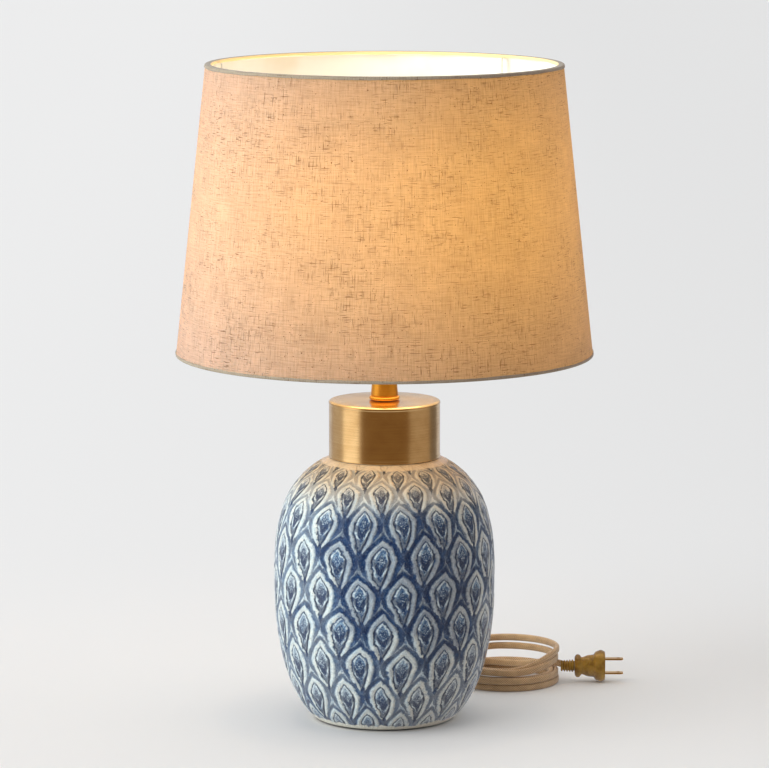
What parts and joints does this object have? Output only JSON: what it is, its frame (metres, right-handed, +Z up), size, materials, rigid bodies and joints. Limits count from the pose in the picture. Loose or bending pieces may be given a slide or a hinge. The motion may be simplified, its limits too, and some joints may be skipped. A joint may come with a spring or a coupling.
{
  "type": "table lamp",
  "caption": "Ceramic table lamp with a patterned glazed body, brass cap and neck, tapered linen drum shade on a harp, turn switch and coiled cloth-covered cord with plug.",
  "frame": {"origin": "on the lamp's axis, on the surface it stands on", "axes": "+Z up along the lamp's axis, -Y the front, +Y the back where the cord leaves, +X to the right seen from the front"},
  "size_m": [0.3906, 0.3623, 0.5617],
  "materials": {
    "glaze": "glossy, cobalt ogee pattern in relief on off-white",
    "brushed_brass": "brushed satin",
    "polished_brass": "satin",
    "zinc_steel": "zinc plated",
    "rubber": "matt",
    "felt": "pressed felt",
    "linen": "slubbed linen weave, translucent",
    "rim_binding": "folded linen",
    "liner": "white styrene, translucent",
    "white_wire": "white powder coat",
    "phenolic": "moulded",
    "fibre_board": "plain",
    "aluminium": "rolled thread",
    "bulb_glass": "frosted, warm white",
    "cloth_cord": "woven cloth cover",
    "plug_plastic": "translucent gold"
  },
  "bodies": {
    "base": {"ceramic_vase": "glaze", "felt_pad": "felt", "cord_boot": "plug_plastic", "rubber_washer": "rubber", "steel_washer": "zinc_steel", "bottom_nut": "zinc_steel", "threaded_pipe": "zinc_steel", "brass_cap": "brushed_brass", "cap_locknut": "zinc_steel", "check_ring": "brushed_brass", "neck_tube": "brushed_brass", "harp_saddle": "polished_brass", "socket_cap": "polished_brass", "socket_shell": "polished_brass", "socket_liner": "fibre_board", "socket_core": "phenolic", "terminal_screw_live": "polished_brass", "terminal_screw_neutral": "polished_brass", "screw_shell": "aluminium", "centre_contact": "polished_brass", "inner_cord": "cloth_cord", "cord_lead": "cloth_cord", "cord_coil": "cloth_cord", "plug_strain_relief": "plug_plastic", "plug_body": "plug_plastic", "plug_blade_upper": "polished_brass", "plug_blade_lower": "polished_brass"},
    "switch": {"switch_shaft": "polished_brass", "switch_knob": "phenolic"},
    "bulb": {"bulb_contact": "aluminium", "bulb_base": "aluminium", "bulb_glass": "bulb_glass"},
    "harp": {"harp_bow": "polished_brass"},
    "sleeve_left": {"harp_sleeve_left": "polished_brass"},
    "sleeve_right": {"harp_sleeve_right": "polished_brass"},
    "stud": {"harp_stud": "polished_brass"},
    "shade": {"shade_cover": "linen", "shade_liner": "liner", "top_binding": "rim_binding", "bottom_binding": "rim_binding", "top_ring_wire": "white_wire", "bottom_ring_wire": "white_wire", "fitter_hub": "white_wire", "fitter_arm_1": "white_wire", "fitter_arm_2": "white_wire", "fitter_arm_3": "white_wire"},
    "finial": {"finial": "polished_brass"}
  },
  "joints": [
    {"name": "switch_turn", "type": "hinge", "parent": "base", "child": "switch", "pos_m": [0, -0.031, 0.3435], "axis": [0, -1, 0], "continuous": true},
    {"name": "bulb_unscrew", "type": "hinge", "parent": "base", "child": "bulb", "pos_m": [0, 0, 0.37], "axis": [0, 0, 1], "continuous": true},
    {"name": "harp_lift", "type": "slide", "parent": "base", "child": "harp", "axis": [0, 0, 1], "range_m": [0, 0.03]},
    {"name": "sleeve_left_lift", "type": "slide", "parent": "harp", "child": "sleeve_left", "axis": [0, 0, 1], "range_m": [0, 0.016]},
    {"name": "sleeve_right_lift", "type": "slide", "parent": "harp", "child": "sleeve_right", "axis": [0, 0, 1], "range_m": [0, 0.016]},
    {"name": "shade_swivel", "type": "hinge", "parent": "harp", "child": "stud", "pos_m": [0, 0, 0.525], "axis": [0, 0, 1], "continuous": true},
    {"name": "shade_lift", "type": "slide", "parent": "stud", "child": "shade", "axis": [0, 0, 1], "range_m": [0, 0.23]},
    {"name": "finial_unscrew", "type": "hinge", "parent": "shade", "child": "finial", "pos_m": [0, 0, 0.529], "axis": [0, 0, 1], "continuous": true}
  ]
}
